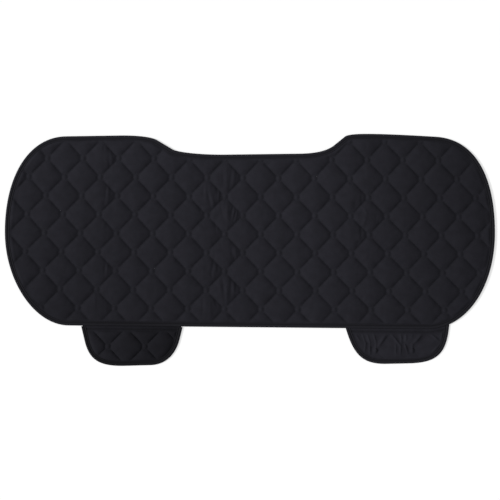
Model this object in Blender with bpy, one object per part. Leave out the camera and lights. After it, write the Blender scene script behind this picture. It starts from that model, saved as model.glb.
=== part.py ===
"""Rear-bench car seat cover: a diamond-quilted pad with a bound edge and two bound flaps at its front edge.

The cover lies flat, face up. +X runs to the right along the bench, +Y towards the seat back, +Z up.
The origin is at the middle of the cover, on the surface that it lies on. Sizes are metres.
"""

import math

import bmesh
import bpy
import numpy as np

# Pad outline
PAD_WIDTH = 1.340
PAD_DEPTH = 0.528           # from its front edge, where the flaps are sewn, to the back edge of the humps
NOTCH_DEPTH = 0.054         # step down from the humps to the middle of the back edge
NOTCH_WIDTH = 0.388         # along its floor
NOTCH_SHIFT = 0.009         # the notch lies this far to the right of the middle
CREST = 0.0007              # the right hump stands this much further out than the left flap's foot sags
LEFT_SLOPE = 0.092          # width of the slope from the left hump down to the notch
RIGHT_SLOPE = 0.073
CORNER_STEPS = 8            # straight pieces that make up one rounded corner

# Flap outlines. A flap is measured at its middle; its foot is its front edge.
LEFT_FLAP_INSET = 0.3475    # from the pad's left side to the middle of the left flap, where it meets the pad
LEFT_FLAP_TOP = 0.2765      # its width there
LEFT_FLAP_FOOT = 0.226      # distance between its lower corners before rounding
LEFT_FLAP_LENGTH = 0.1047   # how far it reaches out of the pad
LEFT_FLAP_TILT = 0.006      # rise of its foot from left to right
RIGHT_FLAP_INSET = 0.2671   # from the pad's right side
RIGHT_FLAP_TOP = 0.2835
RIGHT_FLAP_FOOT = 0.238
RIGHT_FLAP_SLEW = 0.0103    # the right flap's foot lies this far to the right of its top
RIGHT_FLAP_LENGTH = 0.099
RIGHT_FLAP_TILT = 0.0053

# Quilting: seams run along both diagonals of a diamond lattice, with a small round at each crossing
DIAMOND_WIDTH = 0.0987
DIAMOND_DEPTH = 0.1024
PAD_CROSSING = (-0.0184, 0.1966)
LEFT_FLAP_CROSSING = (-0.3790, -0.2635)
RIGHT_FLAP_CROSSING = (0.3348, -0.2750)
SEAM_LEAN = 0.0065          # the rows of diamonds fall by this share of the way to the right
SEAM_FAN = 0.077            # the cloth spreads by this share for each metre towards the front
FAN_Y = 0.046               # where the diamonds have their own width
SEAM_STATIONS = (0.0, 0.1, 0.5, 0.9)    # mesh lines across one diamond, as shares of its side

# Thicknesses and heights
TAPE = 0.0008               # binding tape
BACKING = 0.0006            # underside cloth
CRUSHED = 0.0020            # face cloth and sponge, pressed flat under a seam
EDGE_RISE = 0.0045          # steep rise beside a seam
CROWN = 0.0040              # gentle crown over the rest of a diamond
SEAM_ROLL = 0.005           # width over which the steep rise happens
ROUND_RADIUS = 0.0070       # small round at a crossing
ROUND_PUFF = 0.0026
GAP = 0.0003                # clearance between layers

# Edges
BINDING_WIDTH = 0.0125      # width of the tape seen from above
SEAM_BAND = 0.013           # width of the pressed border that the tape covers
RAMP_SLOPE = 0.26           # slope at which the cloth comes down from its border to the floor
TUCK = 0.009                # the flap's backing runs on under the pad's edge by this much
TAPE_NOSE = 0.6             # depth of the tape's rounded fold, as a share of half its height
TAPE_STEPS = 6              # straight pieces around that fold

# Places on the outline, with the middle of the pad and its left flap at the origin
PAD_BACK_Y = (PAD_DEPTH + LEFT_FLAP_LENGTH - CREST) / 2
PAD_FRONT_Y = PAD_BACK_Y - PAD_DEPTH
LEFT_FLAP_X = LEFT_FLAP_INSET - PAD_WIDTH / 2
RIGHT_FLAP_X = PAD_WIDTH / 2 - RIGHT_FLAP_INSET
FLAP_REACH = TUCK + 2 * SEAM_BAND

# Layer heights, from the floor up
FLAP_BACKING_EDGE_Z = TAPE + GAP
FLAP_PANEL_EDGE_Z = FLAP_BACKING_EDGE_Z + BACKING + GAP
PAD_TAPE_Z = FLAP_BACKING_EDGE_Z + BACKING + GAP
PAD_BACKING_EDGE_Z = PAD_TAPE_Z + TAPE + GAP
PAD_PANEL_EDGE_Z = PAD_BACKING_EDGE_Z + BACKING + GAP
PANEL_MIDDLE_Z = BACKING + GAP
TAPE_STACK = 2 * TAPE + 3 * GAP + BACKING + CRUSHED
EDGE_INSET = TAPE + GAP
BLANK_DEPTH = 4 * TAPE_STACK
LINE_STEPS = 40             # steps in which a crossing of two lines is searched
MERGE = 1e-6                # points closer than this are one
PARALLEL = 1e-9             # sine of the angle under which two lines run the same way

# Colours, linear
FACE_BLACK = (0.0150, 0.0151, 0.0192)
TAPE_BLACK = (0.0120, 0.0120, 0.0155)
BACKING_BLACK = (0.0140, 0.0140, 0.0155)


def corner_path(corners, closed):
    """Points of a path whose corners are rounded by cubic curves.

    A corner is (x, y, lead_in, lead_out, pull): the curve starts lead_in before the corner, ends lead_out
    after it, and its handles reach the share pull of the way to it. The ends of an open path stay sharp.
    """
    spots = [np.array(corner[:2]) for corner in corners]
    leads_in, leads_out = fitted_leads(corners, spots)
    points = []
    for i, here in enumerate(spots):
        lead_in, lead_out, pull = leads_in[i], leads_out[i], corners[i][4]
        if not closed and i in (0, len(corners) - 1):
            points.append(here)
            continue
        before = spots[i - 1] - here
        after = spots[(i + 1) % len(spots)] - here
        start = here + before / np.linalg.norm(before) * lead_in
        end = here + after / np.linalg.norm(after) * lead_out
        first_handle = start + (here - start) * pull
        last_handle = end + (here - end) * pull
        for t in np.linspace(0.0, 1.0, CORNER_STEPS + 1):
            s = 1.0 - t
            ends = s**3 * start + t**3 * end
            points.append(ends + 3 * s * t * (s * first_handle + t * last_handle))
    return without_repeats(np.array(points), closed)


def fitted_leads(corners, spots):
    """How far before and after each corner its curve starts and ends, so that no two curves overlap."""
    leads_in = [corner[2] for corner in corners]
    leads_out = [corner[3] for corner in corners]
    for i, here in enumerate(spots):
        j = (i + 1) % len(spots)
        side = np.linalg.norm(spots[j] - here)
        share = min(1.0, side / max(leads_out[i] + leads_in[j], GAP))
        leads_out[i] *= share
        leads_in[j] *= share
    return leads_in, leads_out


def without_repeats(points, closed):
    """The points without those that lie on the one before."""
    kept = [points[0]]
    for point in points[1:]:
        if np.linalg.norm(point - kept[-1]) > MERGE:
            kept.append(point)
    if closed and np.linalg.norm(kept[0] - kept[-1]) < MERGE:
        kept.pop()
    return np.array(kept)


def offset_path(points, distance):
    """The outline moved to its left by distance, which is inwards because it runs anticlockwise.

    A side that is too short for the move shrinks to a point, so the result has as many points as before.
    """
    along = np.roll(points, -1, axis=0) - points
    along /= np.linalg.norm(along, axis=1)[:, None]
    starts = points + distance * np.column_stack([-along[:, 1], along[:, 0]])
    live = list(range(len(points)))
    while True:
        joints = np.array([meeting(starts, along, live[k - 1], live[k]) for k in range(len(live))])
        lengths = ((np.roll(joints, -1, axis=0) - joints) * along[live]).sum(axis=1)
        if lengths.min() >= 0.0:
            break
        live.pop(lengths.argmin())
    return joints[np.searchsorted(live, np.arange(len(points))) % len(live)]


def meeting(starts, along, a, b):
    """Where the lines a and b cross, or the start of b where they run the same way."""
    cross = along[a][0] * along[b][1] - along[a][1] * along[b][0]
    if abs(cross) < PARALLEL:
        return starts[b]
    step = starts[b] - starts[a]
    return starts[a] + along[a] * (step[0] * along[b][1] - step[1] * along[b][0]) / cross


def nearest_on(path, places):
    """For each place, the side of the closed path that is nearest, how far along it, and the distance."""
    sides = np.roll(path, -1, axis=0) - path
    along = ((places[:, None] - path) * sides).sum(2) / np.maximum((sides**2).sum(1), MERGE**2)
    along = np.clip(along, 0.0, 1.0)
    distances = np.linalg.norm(places[:, None] - path - along[..., None] * sides, axis=2)
    best = distances.argmin(axis=1)
    rows = np.arange(len(places))
    return best, along[rows, best], distances[rows, best]


def carried_over(path, other, places):
    """The places, which lie on the closed path, taken to the same stretch of another path like it."""
    side, share, _ = nearest_on(path, places)
    following = (side + 1) % len(path)
    return other[side] + (other[following] - other[side]) * share[:, None]


def pad_outline():
    """The pad's outer edge, anticlockwise from the front left corner.

    Its corners lie a few millimetres off its straight edges, as the soft cover does.
    """
    half = PAD_WIDTH / 2
    notch_y = PAD_BACK_Y - NOTCH_DEPTH
    notch_left_x = NOTCH_SHIFT - NOTCH_WIDTH / 2
    notch_right_x = NOTCH_SHIFT + NOTCH_WIDTH / 2
    front_left = (-half, PAD_FRONT_Y + 0.007, 0.254, 0.174, 0.53)
    front_right = (half, PAD_FRONT_Y - 0.006, 0.185, 0.265, 0.57)
    back_right = (half, PAD_BACK_Y - 0.016, 0.253, 0.163, 0.64)
    right_hump = (notch_right_x + RIGHT_SLOPE, PAD_BACK_Y + 0.007, 0.225, 0.021, 0.75)
    notch_right = (notch_right_x, notch_y + 0.002, 0.036, 0.070, 0.69)
    notch_left = (notch_left_x, notch_y - 0.003, 0.120, 0.031, 0.54)
    left_hump = (notch_left_x - LEFT_SLOPE, PAD_BACK_Y - 0.002, 0.028, 0.080, 0.64)
    back_left = (-half, PAD_BACK_Y - 0.008, 0.167, 0.259, 0.60)
    corners = [front_left, front_right, back_right, right_hump, notch_right, notch_left, left_hump, back_left]
    return corner_path(corners, closed=True)


def left_flap_sides():
    """The left flap's free edge: down its left side, along the front and up its right side."""
    left_x = LEFT_FLAP_X - LEFT_FLAP_FOOT / 2
    right_x = LEFT_FLAP_X + LEFT_FLAP_FOOT / 2
    foot_y = PAD_FRONT_Y - LEFT_FLAP_LENGTH
    foot_left = (left_x, foot_y - LEFT_FLAP_TILT / 2, 0.074, 0.094, 0.75)
    foot_right = (right_x, foot_y + LEFT_FLAP_TILT / 2, 0.063, 0.073, 0.64)
    return flap_sides(LEFT_FLAP_X, LEFT_FLAP_TOP, foot_left, foot_right)


def right_flap_sides():
    """The right flap's free edge, in the same order."""
    middle_x = RIGHT_FLAP_X + RIGHT_FLAP_SLEW
    left_x = middle_x - RIGHT_FLAP_FOOT / 2
    right_x = middle_x + RIGHT_FLAP_FOOT / 2
    foot_y = PAD_FRONT_Y - RIGHT_FLAP_LENGTH
    foot_left = (left_x, foot_y - RIGHT_FLAP_TILT / 2, 0.090, 0.080, 0.75)
    foot_right = (right_x, foot_y + RIGHT_FLAP_TILT / 2, 0.097, 0.089, 0.75)
    return flap_sides(RIGHT_FLAP_X, RIGHT_FLAP_TOP, foot_left, foot_right)


def flap_sides(middle_x, top, foot_left, foot_right):
    """A flap's free edge, whose straight ends reach far enough under the pad to be cut off there."""
    ends = []
    for foot, meet_x in ((foot_left, middle_x - top / 2), (foot_right, middle_x + top / 2)):
        slant = (meet_x - foot[0]) / (PAD_FRONT_Y - foot[1])
        ends.append((meet_x + slant * FLAP_REACH, PAD_FRONT_Y + FLAP_REACH, 0, 0, 0))
    return corner_path([ends[0], foot_left, foot_right, ends[1]], closed=False)


def closed_flap(sides, top_path):
    """A flap's closed outline, anticlockwise: its free edge up to top_path, then back along top_path."""
    front = top_path[top_path[:, 1] < 0.0]
    front = front[np.argsort(front[:, 0])]
    left_x = crossing_x(front, sides[0], sides[1])
    right_x = crossing_x(front, sides[-1], sides[-2])
    between = front[(front[:, 0] > left_x + GAP) & (front[:, 0] < right_x - GAP)]
    top_right = (right_x, np.interp(right_x, front[:, 0], front[:, 1]))
    top_left = (left_x, np.interp(left_x, front[:, 0], front[:, 1]))
    return np.vstack([sides[1:-1], top_right, between[::-1], top_left])


def crossing_x(front, start, end):
    """The x at which the line that runs down from start to end crosses the front edge."""
    line = np.linspace(end, start, LINE_STEPS)
    above = line[:, 1] - np.interp(line[:, 0], front[:, 0], front[:, 1])
    return np.interp(0.0, above, line[:, 0])


class Quilt:
    """A diamond lattice of seams, which run where one of its diagonal coordinates is a whole number."""

    def __init__(self, crossing):
        self.x, self.y = crossing
        self.side = DIAMOND_WIDTH * DIAMOND_DEPTH / math.hypot(DIAMOND_WIDTH, DIAMOND_DEPTH)

    def place(self, a, b):
        """The point at diagonal coordinates a and b."""
        across = (a + b) / 2 * DIAMOND_WIDTH
        y = self.y + (a - b) / 2 * DIAMOND_DEPTH - SEAM_LEAN * across
        x = (self.x + across) * (1 + SEAM_FAN * (FAN_Y - y))
        return x, y

    def coordinates(self, x, y):
        """The diagonal coordinates of a point."""
        across = x / (1 + SEAM_FAN * (FAN_Y - y)) - self.x
        u = across / DIAMOND_WIDTH
        w = (y - self.y + SEAM_LEAN * across) / DIAMOND_DEPTH
        return u + w, u - w

    def puff(self, x, y):
        """Height of the padding over its pressed seams at each point."""
        a, b = self.coordinates(x, y)
        off_a = a - np.round(a)
        off_b = b - np.round(b)
        rise_a = 1 - np.exp(-np.abs(off_a) * self.side / SEAM_ROLL)
        rise_b = 1 - np.exp(-np.abs(off_b) * self.side / SEAM_ROLL)
        crown = (1 - (1 - 2 * np.abs(off_a)) ** 2) * (1 - (1 - 2 * np.abs(off_b)) ** 2)
        radius = np.hypot((off_a + off_b) / 2 * DIAMOND_WIDTH, (off_a - off_b) / 2 * DIAMOND_DEPTH)
        outside = 1 - np.exp(-np.clip(radius - ROUND_RADIUS, 0.0, None) / SEAM_ROLL)
        inside = ROUND_PUFF * np.clip(1 - (radius / ROUND_RADIUS) ** 2, 0.0, None)
        return (EDGE_RISE * rise_a * rise_b + CROWN * crown) * outside + inside


def material(name, colour, roughness):
    """A plain cloth material."""
    made = bpy.data.materials.new(name)
    made.use_nodes = True
    shader = made.node_tree.nodes["Principled BSDF"]
    shader.inputs["Base Color"].default_value = (*colour, 1.0)
    shader.inputs["Roughness"].default_value = roughness
    shader.inputs["Metallic"].default_value = 0.0
    return made


def new_object(name, mesh_maker, collection, surface=None):
    """A named object whose mesh comes from a filled bmesh."""
    mesh = bpy.data.meshes.new(name)
    mesh_maker.to_mesh(mesh)
    mesh_maker.free()
    made = bpy.data.objects.new(name, mesh)
    collection.objects.link(made)
    if surface:
        mesh.materials.append(surface)
    return made


def prism(name, outline, low, high, collection, surface=None):
    """The outline as a flat slab between two heights."""
    maker = bmesh.new()
    corners = [maker.verts.new((x, y, low)) for x, y in without_repeats(outline, closed=True)]
    base = maker.faces.new(corners)
    grown = bmesh.ops.extrude_face_region(maker, geom=[base])
    tops = [item for item in grown["geom"] if isinstance(item, bmesh.types.BMVert)]
    bmesh.ops.translate(maker, verts=tops, vec=(0, 0, high - low))
    bmesh.ops.recalc_face_normals(maker, faces=maker.faces)
    return new_object(name, maker, collection, surface)


def boolean(target, cutter, operation):
    """Cuts target by cutter and makes the result its mesh."""
    modifier = target.modifiers.new("cut", "BOOLEAN")
    modifier.operation = operation
    modifier.solver = "EXACT"
    modifier.object = cutter
    cutter.hide_render = True
    cutter.display_type = "WIRE"
    bpy.context.view_layer.update()
    evaluated = target.evaluated_get(bpy.context.evaluated_depsgraph_get())
    result = bpy.data.meshes.new_from_object(evaluated)
    target.modifiers.clear()
    target.data = result


def quilt_blank(name, quilt, outline, collection, surface):
    """A flat-topped block over the outline whose top is meshed along the seams."""
    a, b = quilt.coordinates(outline[:, 0], outline[:, 1])
    low_a, low_b = math.floor(a.min()) - 1, math.floor(b.min()) - 1
    cells_a, cells_b = math.ceil(a.max()) + 1 - low_a, math.ceil(b.max()) + 1 - low_b
    per_cell = len(SEAM_STATIONS)
    maker = bmesh.new()
    bmesh.ops.create_grid(maker, x_segments=cells_a * per_cell, y_segments=cells_b * per_cell, size=1.0)
    for vert in maker.verts:
        line_a = round((vert.co.x + 1) / 2 * cells_a * per_cell)
        line_b = round((vert.co.y + 1) / 2 * cells_b * per_cell)
        at_a = low_a + line_a // per_cell + SEAM_STATIONS[line_a % per_cell]
        at_b = low_b + line_b // per_cell + SEAM_STATIONS[line_b % per_cell]
        vert.co.x, vert.co.y = quilt.place(at_a, at_b)
    rim = [edge for edge in maker.edges if edge.is_boundary]
    skirt = bmesh.ops.extrude_edge_only(maker, edges=rim)
    lows = [item for item in skirt["geom"] if isinstance(item, bmesh.types.BMVert)]
    bmesh.ops.translate(maker, verts=lows, vec=(0, 0, -BLANK_DEPTH))
    foot = [item for item in skirt["geom"] if isinstance(item, bmesh.types.BMEdge)]
    bmesh.ops.contextual_create(maker, geom=foot)
    bmesh.ops.recalc_face_normals(maker, faces=maker.faces)
    return new_object(name, maker, collection, surface)


def quilted_panel(name, outline, quilt, edge_z, collections, surface):
    """Face cloth and sponge, quilted: puffed diamonds inside a border that is pressed flat for the tape."""
    collection, cutters = collections
    ramp = (edge_z - PANEL_MIDDLE_Z) / RAMP_SLOPE
    rim = offset_path(outline, EDGE_INSET)
    seam_line = offset_path(outline, SEAM_BAND)
    foot_line = offset_path(outline, SEAM_BAND + ramp)
    panel = quilt_blank(name, quilt, seam_line, collection, surface)
    cutter = prism(name + "_blank_cutter", seam_line, -BLANK_DEPTH / 2, BLANK_DEPTH, cutters)
    boolean(panel, cutter, "INTERSECT")

    maker = bmesh.new()
    maker.from_mesh(panel.data)
    bmesh.ops.remove_doubles(maker, verts=maker.verts, dist=MERGE)
    tops = [vert for vert in maker.verts if vert.co.z > -GAP]
    walls = [face for face in maker.faces if abs(face.normal.z) < 0.5]
    base = max((face for face in maker.faces if face.normal.z < -0.5), key=lambda face: face.calc_area())
    for vert in base.verts:
        vert.co.z = edge_z

    places = np.array([vert.co[:2] for vert in tops])
    _, _, inset = nearest_on(outline, places)
    lift = (edge_z - PANEL_MIDDLE_Z) * np.clip((SEAM_BAND + ramp - inset) / ramp, 0.0, 1.0)
    border = 1 - np.exp(-np.clip(inset - SEAM_BAND - GAP, 0.0, None) / SEAM_ROLL)
    heights = PANEL_MIDDLE_Z + lift + CRUSHED + quilt.puff(places[:, 0], places[:, 1]) * border
    for vert, height in zip(tops, heights):
        vert.co.z = height

    middle = bmesh.ops.extrude_discrete_faces(maker, faces=[base])["faces"][0]
    move_flat(middle.verts, seam_line, foot_line)
    for vert in middle.verts:
        vert.co.z = PANEL_MIDDLE_Z

    grown = bmesh.ops.extrude_face_region(maker, geom=walls)
    bmesh.ops.delete(maker, geom=walls, context="FACES")
    move_flat([item for item in grown["geom"] if isinstance(item, bmesh.types.BMVert)], seam_line, rim)
    close_up(maker)
    maker.to_mesh(panel.data)
    maker.free()
    return panel


def move_flat(verts, path, other):
    """Moves points that lie on a path to the same stretch of another, at the height that they have."""
    verts = list(verts)
    places = np.array([vert.co[:2] for vert in verts])
    for vert, place in zip(verts, carried_over(path, other, places)):
        vert.co.x, vert.co.y = place


def close_up(maker):
    """Merges the points that lie on each other and turns every face outwards."""
    bmesh.ops.remove_doubles(maker, verts=maker.verts, dist=MERGE)
    bmesh.ops.recalc_face_normals(maker, faces=maker.faces)


def backing_sheet(name, outline, edge_z, collection, surface):
    """Underside cloth: flat on the floor, with its border lifted into the binding."""
    ramp_end = SEAM_BAND + edge_z / RAMP_SLOPE
    section = [
        (ramp_end, 0.0),
        (SEAM_BAND, edge_z),
        (EDGE_INSET, edge_z),
        (EDGE_INSET, edge_z + BACKING),
        (SEAM_BAND, edge_z + BACKING),
        (ramp_end, BACKING),
    ]
    maker = bmesh.new()
    loops = rings_of_verts(maker, outline, section)
    join_rings(maker, loops[:-1], loops[1:], closed=True)
    maker.faces.new(reversed(loops[0]))
    maker.faces.new(loops[-1])
    close_up(maker)
    return new_object(name, maker, collection, surface)


def rings_of_verts(maker, path, section):
    """A copy of the path for each (inset, height) point of a section."""
    loops = []
    for inset, height in section:
        loops.append([maker.verts.new((x, y, height)) for x, y in offset_path(path, inset)])
    return loops


def join_rings(maker, loops, followers, closed):
    """Faces between each ring and the one that follows it."""
    for ring, following in zip(loops, followers):
        for i in range(len(ring) if closed else len(ring) - 1):
            j = (i + 1) % len(ring)
            maker.faces.new((ring[i], ring[j], following[j], following[i]))


def tape_section(low):
    """The folded tape's section as (inset, height) points: round outside, open on the inside of the fold."""
    high = low + TAPE_STACK
    nose = TAPE_STACK / 2
    rounded = []
    for step in range(TAPE_STEPS + 1):
        angle = -math.pi / 2 + math.pi * step / TAPE_STEPS
        rounded.append((nose * TAPE_NOSE * (1 - math.cos(angle)), low + nose + nose * math.sin(angle)))
    inner_low, inner_high = low + TAPE, high - TAPE
    return [
        (BINDING_WIDTH, low),
        *rounded,
        (BINDING_WIDTH, high),
        (BINDING_WIDTH, inner_high),
        (TAPE, inner_high),
        (TAPE, inner_low),
        (BINDING_WIDTH, inner_low),
    ]


def binding(name, path, closed, low, collection, surface):
    """Edge tape folded over the border, swept along the edge."""
    maker = bmesh.new()
    loops = rings_of_verts(maker, path, tape_section(low))
    join_rings(maker, loops, loops[1:] + loops[:1], closed)
    if not closed:
        maker.faces.new([ring[0] for ring in loops])
        maker.faces.new([ring[-1] for ring in reversed(loops)])
    close_up(maker)
    return new_object(name, maker, collection, surface)


def build_flap(side, sides, pad_edge, quilt, collections, surfaces):
    """One flap: its quilted panel, its backing, sewn under the pad's edge, and its three-sided binding."""
    collection, cutters = collections
    face, tape, cloth = surfaces
    panel_top = offset_path(pad_edge, EDGE_INSET - GAP)
    outline = closed_flap(sides, panel_top)
    quilted_panel(side + "_flap_panel", outline, quilt, FLAP_PANEL_EDGE_Z, collections, face)

    tucked = closed_flap(sides, offset_path(pad_edge, TUCK + EDGE_INSET))
    backing_sheet(side + "_flap_backing", tucked, FLAP_BACKING_EDGE_Z, collection, cloth)

    hem = binding(side + "_flap_binding", sides, False, 0.0, collection, tape)
    room = offset_path(pad_edge, -GAP)
    cutter = prism(side + "_flap_binding_cutter", room, -BLANK_DEPTH, BLANK_DEPTH, cutters)
    boolean(hem, cutter, "DIFFERENCE")


def main():
    """Builds the cover in its own collection."""
    for thing in list(bpy.data.objects):
        bpy.data.objects.remove(thing)
    collection = bpy.data.collections.new("car_seat_cover")
    cutters = bpy.data.collections.new("cutters")
    bpy.context.scene.collection.children.link(collection)
    bpy.context.scene.collection.children.link(cutters)
    collections = (collection, cutters)

    face = material("face_cloth", FACE_BLACK, 0.9)
    tape = material("binding_tape", TAPE_BLACK, 0.8)
    cloth = material("backing_cloth", BACKING_BLACK, 0.95)
    surfaces = (face, tape, cloth)

    edge = pad_outline()
    quilted_panel("pad_panel", edge, Quilt(PAD_CROSSING), PAD_PANEL_EDGE_Z, collections, face)
    backing_sheet("pad_backing", edge, PAD_BACKING_EDGE_Z, collection, cloth)
    binding("pad_binding", edge, True, PAD_TAPE_Z, collection, tape)

    build_flap("left", left_flap_sides(), edge, Quilt(LEFT_FLAP_CROSSING), collections, surfaces)
    build_flap("right", right_flap_sides(), edge, Quilt(RIGHT_FLAP_CROSSING), collections, surfaces)


main()
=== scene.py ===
"""Looks of a rear-bench car seat cover: quilted face, thread, edge tape, underside cloth and two flaps."""
import math

import bmesh
import bpy
import numpy as np
from mathutils.kdtree import KDTree
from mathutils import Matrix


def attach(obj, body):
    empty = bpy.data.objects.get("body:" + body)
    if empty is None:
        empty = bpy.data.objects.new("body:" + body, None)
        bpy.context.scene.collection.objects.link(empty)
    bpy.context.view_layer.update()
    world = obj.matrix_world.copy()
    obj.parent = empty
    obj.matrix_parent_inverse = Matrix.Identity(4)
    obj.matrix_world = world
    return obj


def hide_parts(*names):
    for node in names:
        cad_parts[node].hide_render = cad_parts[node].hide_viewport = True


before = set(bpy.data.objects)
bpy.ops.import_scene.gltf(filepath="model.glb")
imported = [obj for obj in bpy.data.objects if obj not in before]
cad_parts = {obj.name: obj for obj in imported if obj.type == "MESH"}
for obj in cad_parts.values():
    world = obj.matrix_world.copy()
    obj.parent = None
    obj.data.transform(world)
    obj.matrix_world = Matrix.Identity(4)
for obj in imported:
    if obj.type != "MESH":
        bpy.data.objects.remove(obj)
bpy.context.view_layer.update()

# Pad, quilted face
# Brushed microfibre on thin sponge, sewn down along both diagonals of a diamond lattice and cut to the pad's
# outline. Its border is pressed flat for the edge tape, and upright creases show where the cover was folded.
PAD_WIDTH = 1.340
PAD_DEPTH = 0.528
PAD_BACK_Y = 0.316
PAD_FRONT_Y = PAD_BACK_Y - PAD_DEPTH
NOTCH_Y = PAD_BACK_Y - 0.054
NOTCH_LEFT_X = -0.185
NOTCH_RIGHT_X = 0.203
LEFT_SLOPE = 0.092
RIGHT_SLOPE = 0.073
CURVE_STEPS = 60
EDGE_STEP = 0.003

DIAMOND_WIDTH = 0.0987
DIAMOND_DEPTH = 0.1024
DIAMOND_SIDE = DIAMOND_WIDTH * DIAMOND_DEPTH / math.hypot(DIAMOND_WIDTH, DIAMOND_DEPTH)
PAD_CROSSING = (-0.0184, 0.1966)
SEAM_LEAN = 0.0065          # the rows of diamonds fall by this share of the way to the right
SEAM_FAN = 0.077            # the cloth spreads by this share for each metre towards the front
FAN_Y = 0.046
FACE_STEPS = 27             # mesh cells along one side of a diamond

CRUSHED = 0.0020            # face cloth and sponge under a seam
EDGE_RISE = 0.0035
CROWN = 0.0046
SEAM_ROLL = 0.0050
ROUND_RADIUS = 0.0077
ROUND_PUFF = 0.0028
ROUND_STRETCH = 0.92        # a round is this much narrower across than it is long
SEAM_BAND = 0.013           # pressed border, which the tape covers
RAMP_SLOPE = 0.26
PANEL_MIDDLE_Z = 0.0009
PAD_PANEL_EDGE_Z = 0.0040
PANEL_UNDER_Z = 0.0017      # bottom of the sponge, clear of the dimples in the underside cloth
HIDDEN_EDGE = 0.004         # the cloth ends this far inside the tape's fold
GROOVE_INSET = 0.0085       # the topstitch runs this far from the edge
GROOVE_REACH = 0.0022
GROOVE_DEPTH = 0.0012
GROOVE_SHADE = 0.30         # painted shade: cloth along a row of stitches is painted darker by this share, for the shade in its groove
CREASE_HOLD = 0.80          # a seam flattens the creases that cross it by this share
JOIN_PART = 5               # points closer than a mesh cell's side divided by this are joined
MOST_CORNERS = 8            # a face with more corners than this is the flat bottom of a closed piece

FOLD_LINES = (              # x of each packing fold, half width, strength
    (-0.392, 0.022, 0.35),
    (-0.080, 0.045, 0.60),
    (0.310, 0.030, 0.45),
)
CREASES = (                 # middle x and y, lean from upright in degrees, half length, half width, height
    (-0.074, 0.196, 0, 0.030, 0.0025, -0.0008),
    (-0.064, 0.196, 0, 0.032, 0.0035, 0.0012),
    (-0.052, 0.197, 7, 0.032, 0.0034, -0.0015),
    (-0.043, 0.198, 4, 0.024, 0.0035, 0.0012),
    (-0.127, 0.163, 3, 0.022, 0.0026, -0.0010),
    (-0.120, 0.158, 0, 0.026, 0.0030, 0.0011),
    (-0.110, 0.136, -12, 0.024, 0.0034, -0.0018),
    (-0.102, 0.136, -14, 0.022, 0.0032, 0.0013),
    (-0.090, 0.163, -4, 0.014, 0.0025, -0.0016),
    (-0.085, 0.150, 2, 0.018, 0.0022, 0.0012),
    (-0.080, 0.150, 8, 0.016, 0.0024, -0.0017),
    (-0.084, 0.094, 20, 0.014, 0.0075, -0.0018),
    (-0.075, 0.101, -10, 0.016, 0.0035, -0.0014),
    (-0.062, 0.100, 0, 0.030, 0.0050, 0.0020),
    (-0.048, 0.108, 9, 0.016, 0.0022, -0.0022),
    (-0.044, 0.103, 10, 0.018, 0.0019, 0.0017),
    (-0.041, 0.095, 12, 0.017, 0.0019, -0.0020),
    (-0.037, 0.095, 14, 0.016, 0.0018, 0.0016),
    (-0.032, 0.098, 10, 0.013, 0.0020, -0.0017),
    (-0.134, 0.109, 0, 0.010, 0.0020, -0.0016),
    (-0.094, 0.065, -5, 0.016, 0.0026, -0.0013),
    (-0.080, 0.018, -8, 0.010, 0.0026, -0.0010),
    (-0.049, -0.008, 0, 0.014, 0.0030, -0.0013),
    (-0.039, -0.003, 0, 0.014, 0.0028, 0.0012),
    (-0.043, -0.022, -8, 0.009, 0.0025, -0.0018),
    (-0.102, -0.046, 8, 0.020, 0.0032, -0.0020),
    (-0.104, -0.071, -10, 0.013, 0.0028, -0.0014),
    (-0.093, -0.047, 6, 0.016, 0.0030, 0.0015),
    (-0.087, -0.050, -4, 0.011, 0.0023, -0.0014),
    (-0.084, -0.090, -6, 0.018, 0.0034, 0.0014),
    (-0.072, -0.104, -3, 0.026, 0.0030, -0.0017),
    (-0.063, -0.115, 0, 0.034, 0.0036, 0.0018),
    (-0.052, -0.101, 0, 0.026, 0.0027, -0.0019),
    (-0.044, -0.104, 0, 0.020, 0.0025, 0.0015),
    (-0.037, -0.093, 3, 0.015, 0.0023, -0.0013),
    (-0.129, -0.153, 0, 0.026, 0.0030, -0.0013),
    (-0.108, -0.168, 0, 0.026, 0.0040, 0.0012),
    (-0.093, -0.145, -18, 0.013, 0.0027, -0.0014),
    (-0.399, 0.281, 0, 0.012, 0.0020, -0.0015),
    (-0.384, 0.281, 0, 0.012, 0.0018, -0.0013),
    (-0.378, 0.252, -8, 0.017, 0.0025, 0.0015),
    (-0.384, 0.235, -10, 0.010, 0.0025, -0.0016),
    (-0.393, 0.158, 4, 0.024, 0.0027, -0.0013),
    (-0.387, 0.156, 2, 0.022, 0.0036, 0.0015),
    (-0.398, 0.128, 0, 0.007, 0.0032, -0.0015),
    (-0.396, -0.050, 4, 0.017, 0.0027, -0.0014),
    (-0.390, -0.050, 4, 0.018, 0.0026, 0.0013),
    (-0.423, -0.137, 0, 0.018, 0.0028, 0.0012),
    (0.288, 0.124, 0, 0.013, 0.0080, -0.0020),
    (0.305, 0.139, 0, 0.011, 0.0025, -0.0017),
    (0.287, 0.103, 25, 0.012, 0.0030, 0.0016),
    (0.304, 0.100, 60, 0.010, 0.0050, -0.0020),
    (0.315, 0.106, -30, 0.010, 0.0036, 0.0017),
    (0.312, 0.076, 15, 0.020, 0.0042, 0.0017),
    (0.304, 0.052, -3, 0.020, 0.0029, -0.0021),
    (0.345, 0.087, 0, 0.009, 0.0020, -0.0012),
    (0.353, 0.076, 0, 0.010, 0.0020, -0.0014),
    (0.295, 0.019, 30, 0.010, 0.0042, -0.0016),
)


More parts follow.
